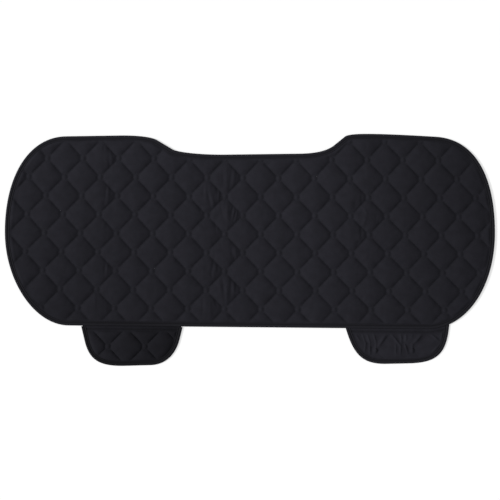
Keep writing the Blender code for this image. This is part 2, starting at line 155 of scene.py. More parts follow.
def rounded(corners, closed):
    """Points of a path whose corners are rounded by cubic curves.

    A corner is (x, y, lead_in, lead_out, pull): the curve starts lead_in before the corner, ends lead_out
    after it, and its handles reach the share pull of the way to it. The ends of an open path stay sharp.
    """
    spots = [np.array(corner[:2]) for corner in corners]
    points = []
    for i, (here, corner) in enumerate(zip(spots, corners)):
        if not closed and i in (0, len(corners) - 1):
            points.append(here)
            continue
        lead_in, lead_out, pull = corner[2:]
        before = spots[i - 1] - here
        after = spots[(i + 1) % len(spots)] - here
        start = here + before / np.linalg.norm(before) * lead_in
        end = here + after / np.linalg.norm(after) * lead_out
        first_handle = start + (here - start) * pull
        last_handle = end + (here - end) * pull
        for t in np.linspace(0.0, 1.0, CURVE_STEPS + 1):
            s = 1.0 - t
            points.append(s**3 * start + t**3 * end + 3 * s * t * (s * first_handle + t * last_handle))
    return np.array(points)


def evenly_spaced(points, closed):
    """The same path with a point about every EDGE_STEP along it."""
    if closed:
        points = np.vstack([points, points[:1]])
    travelled = np.append(0.0, np.cumsum(np.linalg.norm(np.diff(points, axis=0), axis=1)))
    count = round(travelled[-1] / EDGE_STEP)
    stations = np.linspace(0.0, travelled[-1], count + 1)[: count if closed else None]
    return np.column_stack([np.interp(stations, travelled, points[:, axis]) for axis in (0, 1)])


class Edge:
    """A smooth edge seen from above, anticlockwise, with the direction inwards at each of its points."""

    def __init__(self, corners, closed):
        self.closed = closed
        self.points = evenly_spaced(rounded(corners, closed), closed)
        following = np.roll(self.points, -1, axis=0)
        before = np.roll(self.points, 1, axis=0)
        if not closed:
            following[-1] = self.points[-1]
            before[0] = self.points[0]
        along = following - before
        along /= np.linalg.norm(along, axis=1)[:, None]
        self.inwards = np.column_stack([-along[:, 1], along[:, 0]])
        self.lookup = KDTree(len(self.points))
        for i, (x, y) in enumerate(self.points):
            self.lookup.insert((x, y, 0.0), i)
        self.lookup.balance()

    def nearest(self, places):
        """The number of the edge point nearest to each place."""
        return np.array([self.lookup.find((x, y, 0.0))[1] for x, y in places])

    def inset(self, places):
        """How far inside the edge each place lies, or less than nothing where it is outside."""
        near = self.nearest(places)
        return ((places - self.points[near]) * self.inwards[near]).sum(axis=1)

    def moved(self, distance):
        """The edge's points, moved inwards."""
        return self.points + self.inwards * distance


pad_edge = Edge(
    [
        (-PAD_WIDTH / 2, PAD_FRONT_Y + 0.007, 0.254, 0.174, 0.53),
        (PAD_WIDTH / 2, PAD_FRONT_Y - 0.006, 0.185, 0.265, 0.57),
        (PAD_WIDTH / 2, PAD_BACK_Y - 0.016, 0.253, 0.163, 0.64),
        (NOTCH_RIGHT_X + RIGHT_SLOPE, PAD_BACK_Y + 0.007, 0.225, 0.021, 0.75),
        (NOTCH_RIGHT_X, NOTCH_Y + 0.002, 0.036, 0.070, 0.69),
        (NOTCH_LEFT_X, NOTCH_Y - 0.003, 0.120, 0.031, 0.54),
        (NOTCH_LEFT_X - LEFT_SLOPE, PAD_BACK_Y - 0.002, 0.028, 0.080, 0.64),
        (-PAD_WIDTH / 2, PAD_BACK_Y - 0.008, 0.167, 0.259, 0.60),
    ],
    closed=True,
)


class Quilt:
    """A diamond lattice of seams, which run where one of its diagonal coordinates is a whole number."""

    def __init__(self, crossing):
        self.x, self.y = crossing

    def place(self, a, b):
        """The point at diagonal coordinates a and b."""
        across = (a + b) / 2 * DIAMOND_WIDTH
        y = self.y + (a - b) / 2 * DIAMOND_DEPTH - SEAM_LEAN * across
        x = (self.x + across) * (1 + SEAM_FAN * (FAN_Y - y))
        return np.stack([x, y], axis=-1)

    def coordinates(self, places):
        """The diagonal coordinates of each place."""
        x, y = places[:, 0], places[:, 1]
        across = x / (1 + SEAM_FAN * (FAN_Y - y)) - self.x
        u = across / DIAMOND_WIDTH
        w = (y - self.y + SEAM_LEAN * across) / DIAMOND_DEPTH
        return u + w, u - w


def kept_part(cell, spare, places, cuts):
    """The corners of the part of a cell that has room, with new places where its sides cross the limit."""
    kept = []
    for start, end in zip(cell, cell[1:] + cell[:1]):
        if spare[start] >= 0:
            kept.append(start)
        if (spare[start] >= 0) != (spare[end] >= 0):
            low, high = sorted((start, end))
            if (low, high) not in cuts:
                share = spare[low] / (spare[low] - spare[high])
                cuts[low, high] = len(places)
                places.append(places[low] + (places[high] - places[low]) * share)
            kept.append(cuts[low, high])
    return kept


def flat_sheet(name, quilt, steps, edge, room):
    """A flat sheet meshed along the seams, with steps cells to a diamond's side, trimmed where room ends."""
    a, b = quilt.coordinates(edge.points)
    lines_a = np.arange(math.floor(a.min()) * steps, math.ceil(a.max()) * steps + 1) / steps
    lines_b = np.arange(math.floor(b.min()) * steps, math.ceil(b.max()) * steps + 1) / steps
    places = quilt.place(*np.meshgrid(lines_a, lines_b, indexing="ij")).reshape(-1, 2)
    spare = room(places)
    number = np.arange(len(places)).reshape(len(lines_a), len(lines_b))
    corners = (number[:-1, :-1], number[:-1, 1:], number[1:, 1:], number[1:, :-1])
    cells = np.stack(corners, axis=-1).reshape(-1, 4)
    inside = (spare[cells] >= 0).sum(axis=1)
    faces = cells[inside == 4].tolist()
    places = list(places)
    cuts = {}
    for cell in cells[(inside > 0) & (inside < 4)].tolist():
        faces.append(kept_part(cell, spare, places, cuts))
    mesh = bpy.data.meshes.new(name)
    mesh.from_pydata([(x, y, 0.0) for x, y in places], [], faces)
    maker = bmesh.new()
    maker.from_mesh(mesh)
    loose = [vert for vert in maker.verts if not vert.link_faces]
    bmesh.ops.delete(maker, geom=loose, context="VERTS")
    bmesh.ops.remove_doubles(maker, verts=maker.verts, dist=DIAMOND_SIDE / steps / JOIN_PART)
    maker.to_mesh(mesh)
    maker.free()
    return new_piece(name, mesh)


def new_piece(name, mesh):
    """An object at the origin with this mesh."""
    piece = bpy.data.objects.new(name, mesh)
    bpy.context.scene.collection.objects.link(piece)
    return piece


def points_of(mesh):
    """The mesh's points, one in each row."""
    flat = np.empty(len(mesh.vertices) * 3)
    mesh.vertices.foreach_get("co", flat)
    return flat.reshape(-1, 3)


def mark(mesh, name, values):
    """Keeps a number for each point of the mesh under a name that the node trees read."""
    mesh.attributes.new(name, "FLOAT", "POINT").data.foreach_set("value", np.asarray(values, np.float32))


def mark_lattice(piece, quilt, inset):
    """Marks each point with its diagonal coordinates and its inset, and gives the places of the points."""
    places = points_of(piece.data)[:, :2]
    a, b = quilt.coordinates(places)
    mark(piece.data, "a", a)
    mark(piece.data, "b", b)
    mark(piece.data, "inset", inset(places))
    return places


class Field:
    """A number at each point of a node tree. Sums and products of fields add Math nodes to the tree."""

    def __init__(self, tree, socket):
        self.tree = tree
        self.socket = socket

    def math(self, operation, *others):
        """The result of a Math node on this field and the others, which may be plain numbers."""
        values = dict(enumerate((self, *others)))
        made = new_node(self.tree, "ShaderNodeMath", values, operation=operation)
        return Field(self.tree, made.outputs[0])

    def __add__(self, other):
        return self.math("ADD", other)

    def __sub__(self, other):
        return self.math("SUBTRACT", other)

    def __mul__(self, other):
        return self.math("MULTIPLY", other)

    def __truediv__(self, other):
        return self.math("DIVIDE", other)

    def __neg__(self):
        return self.math("MULTIPLY", -1.0)

    def __rsub__(self, other):
        return self.math("MULTIPLY", -1.0).math("ADD", other)

    def __abs__(self):
        return self.math("ABSOLUTE")

    def exp(self):
        return self.math("EXPONENT")

    def squared(self):
        return self.math("POWER", 2.0)

    def above(self, lowest):
        return self.math("MAXIMUM", lowest)


def new_node(tree, kind, inputs, **settings):
    """A node of a tree. Each input is a field, a socket or a plain value."""
    made = tree.nodes.new(kind)
    for name, value in settings.items():
        setattr(made, name, value)
    for name, value in inputs.items():
        value = getattr(value, "socket", value)
        if isinstance(value, bpy.types.NodeSocket):
            tree.links.new(value, made.inputs[name])
        else:
            made.inputs[name].default_value = value
    return made


def new_tree(name, sizes, others=()):
    """A geometry tree with named sizes as inputs, its incoming geometry, and the inputs by name."""
    tree = bpy.data.node_groups.new(name, "GeometryNodeTree")
    tree.interface.new_socket("Geometry", in_out="INPUT", socket_type="NodeSocketGeometry")
    for label in sizes:
        tree.interface.new_socket(label, in_out="INPUT", socket_type="NodeSocketFloat")
    for label, kind in (*others, ("Material", "NodeSocketMaterial")):
        tree.interface.new_socket(label, in_out="INPUT", socket_type=kind)
    tree.interface.new_socket("Geometry", in_out="OUTPUT", socket_type="NodeSocketGeometry")
    source = tree.nodes.new("NodeGroupInput")
    inputs = {socket.name: Field(tree, socket) for socket in source.outputs}
    return tree, inputs


def end_tree(tree, geometry, inputs):
    """Makes copies real, shades them smooth, gives the material and ends the tree."""
    real = new_node(tree, "GeometryNodeRealizeInstances", {"Geometry": geometry})
    smooth = new_node(tree, "GeometryNodeSetShadeSmooth", {0: real.outputs[0]})
    cloth = {0: smooth.outputs[0], "Material": inputs["Material"]}
    dressed = new_node(tree, "GeometryNodeSetMaterial", cloth)
    new_node(tree, "NodeGroupOutput", {0: dressed.outputs[0]})


def attribute(tree, name):
    """A number kept on the mesh, as a field."""
    made = new_node(tree, "GeometryNodeInputNamedAttribute", {"Name": name}, data_type="FLOAT")
    return Field(tree, made.outputs[0])


def position(tree):
    """The x, y and z of each point, as fields."""
    here = tree.nodes.new("GeometryNodeInputPosition")
    split = new_node(tree, "ShaderNodeSeparateXYZ", {0: here.outputs[0]})
    return [Field(tree, socket) for socket in split.outputs]


def together(tree, x, y, z):
    """A vector socket made of three numbers or fields."""
    return new_node(tree, "ShaderNodeCombineXYZ", {0: x, 1: y, 2: z}).outputs[0]


def noise(tree, x, y, z, detail=1.0):
    """Smooth noise about nothing, from -0.5 to 0.5, whose features are about one unit wide."""
    place = together(tree, x, y, z)
    made = new_node(tree, "ShaderNodeTexNoise", {"Vector": place, "Scale": 1.0, "Detail": detail})
    return Field(tree, made.outputs[0]) - 0.5


def raised(tree, geometry, height):
    """The geometry with each point at this height."""
    x, y, _ = position(tree)
    place = together(tree, x, y, height)
    made = new_node(tree, "GeometryNodeSetPosition", {"Geometry": geometry, "Position": place})
    return made.outputs[0]


def grown(piece, tree, sizes):
    """Runs a tree on a piece and keeps the result as its plain mesh."""
    modifier = piece.modifiers.new(tree.name, "NODES")
    modifier.node_group = tree
    for item in tree.interface.items_tree:
        if item.name in sizes:
            modifier[item.identifier] = sizes[item.name]
    keep_modifiers(piece)
    return piece


def keep_modifiers(piece):
    """Makes what the modifiers do the piece's own mesh."""
    bpy.context.view_layer.update()
    graph = bpy.context.evaluated_depsgraph_get()
    evaluated = piece.evaluated_get(graph)
    mesh = bpy.data.meshes.new_from_object(evaluated, preserve_all_data_layers=True, depsgraph=graph)
    mesh.name = piece.name
    if mesh.materials[0] is None:
        mesh.materials.pop(index=0)
    piece.modifiers.clear()
    piece.data = mesh


QUILT_SIZES = {
    "Diamond width": DIAMOND_WIDTH,
    "Diamond depth": DIAMOND_DEPTH,
    "Diamond side": DIAMOND_SIDE,
    "Crushed thickness": CRUSHED,
    "Edge rise": EDGE_RISE,
    "Crown": CROWN,
    "Seam roll": SEAM_ROLL,
    "Round radius": ROUND_RADIUS,
    "Round stretch": ROUND_STRETCH,
    "Round roll": 0.0028,
    "Round puff": ROUND_PUFF,
    "Seam band": SEAM_BAND,
    "Middle height": PANEL_MIDDLE_Z,
    "Border height": PAD_PANEL_EDGE_Z,
    "Ramp slope": RAMP_SLOPE,
    "Groove inset": GROOVE_INSET,
    "Groove reach": GROOVE_REACH,
    "Groove depth": GROOVE_DEPTH,
    "Plumpness spread": 0.12,
    "Pucker height": 0.0015,
    "Pucker length": 0.013,
    "Pucker reach": 0.010,
    "Streak width": 0.012,
    "Streak length": 0.060,
    "Streak height": 0.0065,
    "Crease hold": CREASE_HOLD,
}
SEAM_SPACING = 7.3          # noise units from seam to seam, so that no two gather alike
OTHER_WAY = 0.37            # shift of the seams that run the other way, for the same reason
PUCKER_START = 0.12         # share of the puckers' reach in which they rise from the seam
STREAK_DETAIL = 1.5
DRIFT_WIDTH = 0.06          # size of the bends in the streaks, across and along
DRIFT_LENGTH = 0.05
DRIFT_SHARE = 0.9           # how far they bend, in streak widths
DRIFT_SLICE = 3.1           # height at which their noise is taken


def seam_puckers(tree, size, along, seam_number, away):
    """Small ridges that run away from a seam, where the thread gathers the cloth."""
    ridges = noise(tree, along / size["Pucker length"], seam_number * SEAM_SPACING, 0.0)
    fade = (-away / size["Pucker reach"]).exp()
    start = 1.0 - (-away / (size["Pucker reach"] * PUCKER_START)).exp()
    return ridges * fade * start * size["Pucker height"] * 2.0


def quilting_tree():
    """The tree that lifts a flat sheet, meshed along its seams, into puffed and creased diamonds."""
    tree, size = new_tree("quilting", QUILT_SIZES)
    a, b = attribute(tree, "a"), attribute(tree, "b")
    inset = attribute(tree, "inset")
    seam_a, seam_b = a.math("ROUND"), b.math("ROUND")
    off_a, off_b = a - seam_a, b - seam_b
    away_a = abs(off_a) * size["Diamond side"]
    away_b = abs(off_b) * size["Diamond side"]
    rise = (1.0 - (-away_a / size["Seam roll"]).exp()) * (1.0 - (-away_b / size["Seam roll"]).exp())
    crown = (1.0 - (1.0 - abs(off_a) * 2.0).squared()) * (1.0 - (1.0 - abs(off_b) * 2.0).squared())

    diamond = together(tree, a.math("FLOOR"), b.math("FLOOR"), 0.5)
    chance = new_node(tree, "ShaderNodeTexWhiteNoise", {"Vector": diamond}, noise_dimensions="3D")
    plump = (Field(tree, chance.outputs[0]) - 0.5) * size["Plumpness spread"] * 2.0 + 1.0

    across = (off_a + off_b) * 0.5 * size["Diamond width"]
    upward = (off_a - off_b) * 0.5 * size["Diamond depth"] * size["Round stretch"]
    radius = (across.squared() + upward.squared()).math("SQRT")
    outside = 1.0 - (-(radius - size["Round radius"]).above(0.0) / size["Round roll"]).exp()
    inside = (1.0 - (radius / size["Round radius"]).squared()).above(0.0) * size["Round puff"]

    puckers = seam_puckers(tree, size, b * size["Diamond side"], seam_a, away_a)
    puckers += seam_puckers(tree, size, a * size["Diamond side"], seam_b + OTHER_WAY, away_b)
    x, y, _ = position(tree)
    drift = noise(tree, x / DRIFT_WIDTH, y / DRIFT_LENGTH, DRIFT_SLICE) * DRIFT_SHARE
    streaks = noise(tree, x / size["Streak width"] + drift, y / size["Streak length"], 0.0, STREAK_DETAIL)
    creases = streaks * size["Streak height"] * attribute(tree, "folded") + attribute(tree, "crease")

    puff = (size["Edge rise"] * rise + size["Crown"] * crown * plump) * outside + inside
    puff += puckers * outside + creases * (1.0 - size["Crease hold"] * (1.0 - rise * outside))

    lift_height = size["Border height"] - size["Middle height"]
    ramp = lift_height / size["Ramp slope"]
    climb = ((size["Seam band"] + ramp - inset) / ramp).above(0.0).math("MINIMUM", 1.0)
    border = 1.0 - (-(inset - size["Seam band"]).above(0.0) / size["Seam roll"]).exp()
    groove = (-((inset - size["Groove inset"]) / size["Groove reach"]).squared()).exp() * size["Groove depth"]
    height = size["Middle height"] + lift_height * climb + size["Crushed thickness"] + puff * border - groove
    end_tree(tree, raised(tree, size["Geometry"], height), size)
    return tree


quilting = quilting_tree()


FOLD_MEAN = 0.6             # a fold creases the cloth by this share on average, and by turns more and less
FOLD_SWING = 0.4
LONG_WAVE = 37.0            # radians to a metre along the fold, of the two waves that make the swing
SHORT_WAVE = 71.0
LONG_WAVE_SHIFT = 11.0      # radians by which the long wave is shifted for each metre across
SHORT_WAVE_START = 1.3


def folded(places, folds):
    """How strongly each place is creased by the packing folds."""
    strength = np.zeros(len(places))
    for x, half_width, share in folds:
        long_wave = np.sin(places[:, 1] * LONG_WAVE + x * LONG_WAVE_SHIFT)
        short_wave = np.sin(places[:, 1] * SHORT_WAVE + SHORT_WAVE_START)
        patchy = FOLD_MEAN + FOLD_SWING * long_wave * short_wave
        strength += share * patchy * np.exp(-(((places[:, 0] - x) / half_width) ** 2))
    return strength


def creased(places, creases):
    """Height of the single creases at each place."""
    height = np.zeros(len(places))
    for x, y, lean, half_length, half_width, rise in creases:
        turn = math.radians(lean)
        along = (places[:, 0] - x) * math.sin(turn) + (places[:, 1] - y) * math.cos(turn)
        aside = (places[:, 0] - x) * math.cos(turn) - (places[:, 1] - y) * math.sin(turn)
        height += rise * np.exp(-((along / half_length) ** 2) - (aside / half_width) ** 2)
    return height


def close_below(piece, edge, rings):
    """Closes a sheet from below: its border goes through (move inwards, height) rings to a flat bottom."""
    maker = bmesh.new()
    maker.from_mesh(piece.data)
    rim = [side for side in maker.edges if side.is_boundary]
    for move, height in rings:
        added = bmesh.ops.extrude_edge_only(maker, edges=rim)["geom"]
        rim = [item for item in added if isinstance(item, bmesh.types.BMEdge) and item.is_boundary]
        verts = [item for item in added if isinstance(item, bmesh.types.BMVert)]
        near = edge.nearest([vert.co[:2] for vert in verts])
        for vert, (x, y) in zip(verts, edge.inwards[near] * move):
            vert.co = (vert.co.x + x, vert.co.y + y, height)
    bmesh.ops.contextual_create(maker, geom=rim)
    bmesh.ops.recalc_face_normals(maker, faces=maker.faces)
    maker.to_mesh(piece.data)
    maker.free()
    for flat in piece.data.polygons:
        flat.use_smooth = len(flat.vertices) <= MOST_CORNERS


FACE_BLACK = (0.0152, 0.0149, 0.0194)
NOISE_LOW = 0.3             # the noise behind the soft patches seldom leaves this range
NOISE_HIGH = 0.7


def cloth_shader(name, colour, roughness):
    """A cloth material, its shader node and its object coordinates."""
    made = bpy.data.materials.new(name)
    made.use_nodes = True
    tree = made.node_tree
    shader = tree.nodes["Principled BSDF"]
    shader.inputs["Base Color"].default_value = (*colour, 1.0)
    shader.inputs["Roughness"].default_value = roughness
    return made, tree, shader, tree.nodes.new("ShaderNodeTexCoord").outputs["Object"]


def mottled(tree, coordinates, colour, amount, scale):
    """The colour, lighter and darker in soft patches, as a socket."""
    patches = new_node(tree, "ShaderNodeTexNoise", {"Vector": coordinates, "Scale": scale, "Detail": 4.0})
    span = {"From Min": NOISE_LOW, "From Max": NOISE_HIGH, "To Min": 1.0 - amount, "To Max": 1.0 + amount}
    level = new_node(tree, "ShaderNodeMapRange", {"Value": patches.outputs[0], **span})
    return scaled(tree, colour, level.outputs[0])


def scaled(tree, colour, share):
    """A colour times a number, as a socket."""
    return new_node(tree, "ShaderNodeVectorMath", {0: colour, "Scale": share}, operation="SCALE").outputs[0]


def bumped(tree, shader, height, distance, strength):
    """Gives the shader a fine relief from a height socket."""
    bump = new_node(tree, "ShaderNodeBump", {"Height": height, "Distance": distance, "Strength": strength})
    tree.links.new(bump.outputs[0], shader.inputs["Normal"])


def x_and_y(tree, place):
    """The x and y of a place socket, as fields."""
    split = new_node(tree, "ShaderNodeSeparateXYZ", {0: place})
    return Field(tree, split.outputs["X"]), Field(tree, split.outputs["Y"])


def painted_groove_shade(tree, reach):
    """Painted shade: the share of its colour that a cloth keeps near the row of stitches along its edge, where
    the shade of the groove is painted in, as a field.
    """
    inset = new_node(tree, "ShaderNodeAttribute", {}, attribute_name="inset").outputs["Fac"]
    away = (Field(tree, inset) - GROOVE_INSET) / reach
    return 1.0 - (-away.squared()).exp() * GROOVE_SHADE


# Painted light: the cloth's colour is made lighter and darker across the cover, standing in for how the light
# falls off across it.
PAINTED_BACK_LIGHTENING = 0.26           # painted light: the cloth's colour is painted lighter by this share for each metre towards the back
PAINTED_BACK_LIGHTENING_LEFT = 0.55      # and by this much more of it for each metre to the left
PAINTED_LIGHT_X = 0.164            # where the painted light is brightest on the cover
PAINTED_FADE_LEFT = 0.12            # share of its colour that the painted light takes away in each metre to the left of there
PAINTED_FADE_RIGHT = 0.52


def painted_light_falloff(tree, place, painted_light_x, painted_fade_right):
    """Painted light: how much lighter or darker a cloth's colour is painted for where it lies on the cover,
    standing in for how the light falls across it, as a field.
    """
    x, y = x_and_y(tree, place)
    away = x - painted_light_x
    across = 1.0 - away.above(0.0) * painted_fade_right - (-away).above(0.0) * PAINTED_FADE_LEFT
    return ((PAINTED_BACK_LIGHTENING - x * PAINTED_BACK_LIGHTENING_LEFT) * (y - FAN_Y) + 1.0) * across


def brushed_face(name, brightness, painted_light_x=PAINTED_LIGHT_X, painted_fade_right=PAINTED_FADE_RIGHT, groove_shade_reach=GROOVE_REACH):
    """Brushed microfibre: a short matte nap that lies in soft patches and catches a little light edge on."""
    colour = tuple(channel * brightness for channel in FACE_BLACK)
    made, tree, shader, place = cloth_shader(name, colour, roughness=0.92)
    # painted light and shade: the colour follows the painted light across the cover, and painted shade darkens
    # it along the row of stitches by its edge
    share = painted_light_falloff(tree, place, painted_light_x, painted_fade_right) * painted_groove_shade(tree, groove_shade_reach)
    toned = scaled(tree, mottled(tree, place, colour, amount=0.10, scale=55.0), share)
    tree.links.new(toned, shader.inputs["Base Color"])
    shader.inputs["Specular IOR Level"].default_value = 0.08
    shader.inputs["Sheen Weight"].default_value = 0.02
    shader.inputs["Sheen Roughness"].default_value = 0.45
    shader.inputs["Sheen Tint"].default_value = (0.75, 0.78, 0.9, 1.0)
    nap = new_node(tree, "ShaderNodeTexNoise", {"Vector": place, "Scale": 1400.0, "Detail": 3.0})
    bumped(tree, shader, nap.outputs[0], distance=0.00025, strength=0.5)
    return made


def pad_room(places):
    """How far each place lies inside the hidden edge of the pad's cloth."""
    return pad_edge.inset(places) - HIDDEN_EDGE


face_cloth = brushed_face("brushed_face", brightness=1.0)
pad_quilt = Quilt(PAD_CROSSING)
pad_face = flat_sheet("pad_face", pad_quilt, FACE_STEPS, pad_edge, pad_room)
face_places = mark_lattice(pad_face, pad_quilt, pad_edge.inset)
mark(pad_face.data, "folded", folded(face_places, FOLD_LINES))
mark(pad_face.data, "crease", creased(face_places, CREASES))
grown(pad_face, quilting, {**QUILT_SIZES, "Material": face_cloth})
foot_inset = SEAM_BAND + (PAD_PANEL_EDGE_Z - PANEL_MIDDLE_Z) / RAMP_SLOPE
close_below(
    pad_face,
    pad_edge,
    [
        (0.0, PAD_PANEL_EDGE_Z),
        (SEAM_BAND - HIDDEN_EDGE, PAD_PANEL_EDGE_Z),
        (foot_inset - SEAM_BAND, PANEL_UNDER_Z),
    ],
)
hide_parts("pad_panel")
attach(pad_face, "root")

# Pad, quilting thread
# Black polyester thread in lockstitches of 4 mm along every seam, and round a small circle at each crossing.
# It sinks into the cloth at both ends of each stitch.
THREAD_RADIUS = 0.00028
STITCH_PITCH = 0.0040
STITCH_SHARE = 0.8          # of the pitch that a stitch fills
STITCH_SIZES = {
    "Pitch": STITCH_PITCH,
    "Stitch length": STITCH_PITCH * STITCH_SHARE,
    "Thread radius": THREAD_RADIUS,
}
LINE_POINTS = 9
ROUND_POINTS = 20


def stitching_tree():
    """The tree that lays a small spindle of thread at even steps along each line."""
    tree, size = new_tree("stitching", STITCH_SIZES)
    curve = new_node(tree, "GeometryNodeMeshToCurve", {0: size["Geometry"]})
    line = {0: curve.outputs[0], "Length": size["Pitch"]}
    steps = new_node(tree, "GeometryNodeCurveToPoints", line, mode="LENGTH")
    ball = new_node(tree, "GeometryNodeMeshUVSphere", {"Segments": 5, "Rings": 4, "Radius": 1.0})
    shape = together(tree, size["Thread radius"], size["Thread radius"], size["Stitch length"] * 0.5)
    stitch = new_node(tree, "GeometryNodeTransform", {"Geometry": ball.outputs[0], "Scale": shape})
    spots = {"Points": steps.outputs["Points"], "Rotation": steps.outputs["Rotation"]}
    row = new_node(tree, "GeometryNodeInstanceOnPoints", {**spots, "Instance": stitch.outputs[0]})
    end_tree(tree, row.outputs[0], size)
    return tree


def seam_lines(quilt, edge, room):
    """Short lines along every seam, from round to round, and the rounds, each with whether it is closed."""
    a, b = quilt.coordinates(edge.points)
    seams_a = range(math.floor(a.min()), math.ceil(a.max()) + 1)
    seams_b = range(math.floor(b.min()), math.ceil(b.max()) + 1)
    margin = ROUND_RADIUS / DIAMOND_SIDE
    turn = np.linspace(0.0, 2 * math.pi, ROUND_POINTS, endpoint=False)
    ring = ROUND_RADIUS * np.column_stack([np.cos(turn), np.sin(turn) / ROUND_STRETCH])
    lines = []
    for seam_a in seams_a:
        for seam_b in seams_b:
            along_a = np.linspace(seam_a + margin, seam_a + 1 - margin, LINE_POINTS)
            along_b = np.linspace(seam_b + margin, seam_b + 1 - margin, LINE_POINTS)
            for run in (quilt.place(along_a, np.full(LINE_POINTS, seam_b)),
                        quilt.place(np.full(LINE_POINTS, seam_a), along_b)):
                run = run[room(run) >= 0]
                if len(run) > 1:
                    lines.append((run, False))
            circle = quilt.place(np.array([seam_a]), np.array([seam_b])) + ring
            if room(circle).min() > 0:
                lines.append((circle, True))
    return lines


def line_piece(name, lines, height):
    """A piece of bare mesh edges along the lines, at the height that height(places) gives."""
    places = np.vstack([line for line, _ in lines])
    verts = np.column_stack([places, height(places)])
    sides = []
    start = 0
    for line, closed in lines:
        sides += [(start + i, start + i + 1) for i in range(len(line) - 1)]
        if closed:
            sides.append((start + len(line) - 1, start))
        start += len(line)
    mesh = bpy.data.meshes.new(name)
    mesh.from_pydata(verts.tolist(), sides, [])
    return new_piece(name, mesh)


def thread_material(name, colour):
    """Twisted polyester thread, a little smoother than the cloth."""
    made, tree, shader, place = cloth_shader(name, colour, roughness=0.7)
    shader.inputs["Specular IOR Level"].default_value = 0.15
    tree.links.new(mottled(tree, place, colour, amount=0.15, scale=900.0), shader.inputs["Base Color"])
    twist = new_node(tree, "ShaderNodeTexNoise", {"Vector": place, "Scale": 4000.0, "Detail": 1.0})
    bumped(tree, shader, twist.outputs[0], distance=0.0001, strength=0.4)
    return made


def stitched(name, lines, height, pitch, surface):
    """Thread along the lines, as a piece."""
    piece = line_piece(name, lines, height)
    sizes = {**STITCH_SIZES, "Pitch": pitch, "Stitch length": pitch * STITCH_SHARE, "Material": surface}
    grown(piece, stitching, sizes)
    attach(piece, "root")
    return piece


def seam_floor(inset, border_z, crease):
    """Height of the face cloth in a seam, with what the creases that cross it add."""
    ramp = (border_z - PANEL_MIDDLE_Z) / RAMP_SLOPE
    climb = np.clip((SEAM_BAND + ramp - inset) / ramp, 0.0, 1.0)
    border = 1.0 - np.exp(-np.maximum(inset - SEAM_BAND, 0.0) / SEAM_ROLL)
    return PANEL_MIDDLE_Z + CRUSHED + (border_z - PANEL_MIDDLE_Z) * climb + crease * border


stitching = stitching_tree()
quilting_thread = thread_material("quilting_thread", (0.0150, 0.0155, 0.0190))
pad_seams = seam_lines(pad_quilt, pad_edge, lambda places: pad_edge.inset(places) - SEAM_BAND)


def pad_seam_z(places):
    """Height of the pad's face cloth in its seams."""
    crease = (1.0 - CREASE_HOLD) * creased(places, CREASES)
    return seam_floor(pad_edge.inset(places), PAD_PANEL_EDGE_Z, crease)


stitched("pad_thread", pad_seams, pad_seam_z, STITCH_PITCH, quilting_thread)

# Pad, underside cloth
# Plain black nonwoven cloth that lies on the seat. The seams pull small dimples into it, and its border is
# lifted into the fold of the tape. The lower thread of each seam shows on it.
BACKING = 0.0006
BACKING_STEPS = 12
PAD_BACKING_EDGE_Z = 0.0031
BACKING_SIZES = {
    "Diamond side": DIAMOND_SIDE,
    "Dimple depth": 0.0008,
    "Dimple reach": 0.007,
    "Seam band": SEAM_BAND,
    "Border height": PAD_BACKING_EDGE_Z,
    "Ramp slope": RAMP_SLOPE,
}


def backing_tree():
    """The tree that lifts a flat sheet into the dimples and the raised border of the underside cloth."""
    tree, size = new_tree("underside", BACKING_SIZES)
    a, b = attribute(tree, "a"), attribute(tree, "b")
    inset = attribute(tree, "inset")
    away_a = abs(a - a.math("ROUND")) * size["Diamond side"]
    away_b = abs(b - b.math("ROUND")) * size["Diamond side"]
    away = away_a.math("MINIMUM", away_b)
    dimple = (-away / size["Dimple reach"]).exp() * size["Dimple depth"]
    ramp = size["Border height"] / size["Ramp slope"]
    climb = ((size["Seam band"] + ramp - inset) / ramp).above(0.0).math("MINIMUM", 1.0)
    height = size["Border height"] * climb + dimple * (1.0 - climb)
    end_tree(tree, raised(tree, size["Geometry"], height), size)
    return tree


def nonwoven(name):
    """Nonwoven cloth: bonded fibres with a fine grid of pressed dots."""
    colour = (0.0140, 0.0140, 0.0155)
    made, tree, shader, place = cloth_shader(name, colour, roughness=0.95)
    tree.links.new(mottled(tree, place, colour, amount=0.25, scale=240.0), shader.inputs["Base Color"])
    shader.inputs["Specular IOR Level"].default_value = 0.25
    dots = new_node(tree, "ShaderNodeTexVoronoi", {"Vector": place, "Scale": 520.0, "Randomness": 0.15})
    bumped(tree, shader, dots.outputs["Distance"], distance=0.0003, strength=0.6)
    return made


def backing_piece(name, quilt, edge, room, inset, border_z, surface):
    """Underside cloth of a pad or flap, BACKING thick."""
    piece = flat_sheet(name, quilt, BACKING_STEPS, edge, room)
    mark_lattice(piece, quilt, inset)
    grown(piece, underside, {**BACKING_SIZES, "Border height": border_z, "Material": surface})
    solid = piece.modifiers.new("thickness", "SOLIDIFY")
    solid.thickness = BACKING
    solid.offset = 1.0
    keep_modifiers(piece)
    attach(piece, "root")
    return piece


def at_height(height):
    """A function that gives this height at every place."""
    return lambda places: np.full(len(places), height)


underside = backing_tree()
backing_cloth = nonwoven("underside_cloth")
pad_underside = backing_piece(
    "pad_underside", pad_quilt, pad_edge, pad_room, pad_edge.inset, PAD_BACKING_EDGE_Z, backing_cloth
)
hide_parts("pad_backing")
stitched(
    "pad_lower_thread",
    [(line, closed) for line, closed in pad_seams if pad_edge.inset(line).min() > 2 * SEAM_BAND],
    at_height(BACKING_SIZES["Dimple depth"]),
    STITCH_PITCH,
    quilting_thread,
)

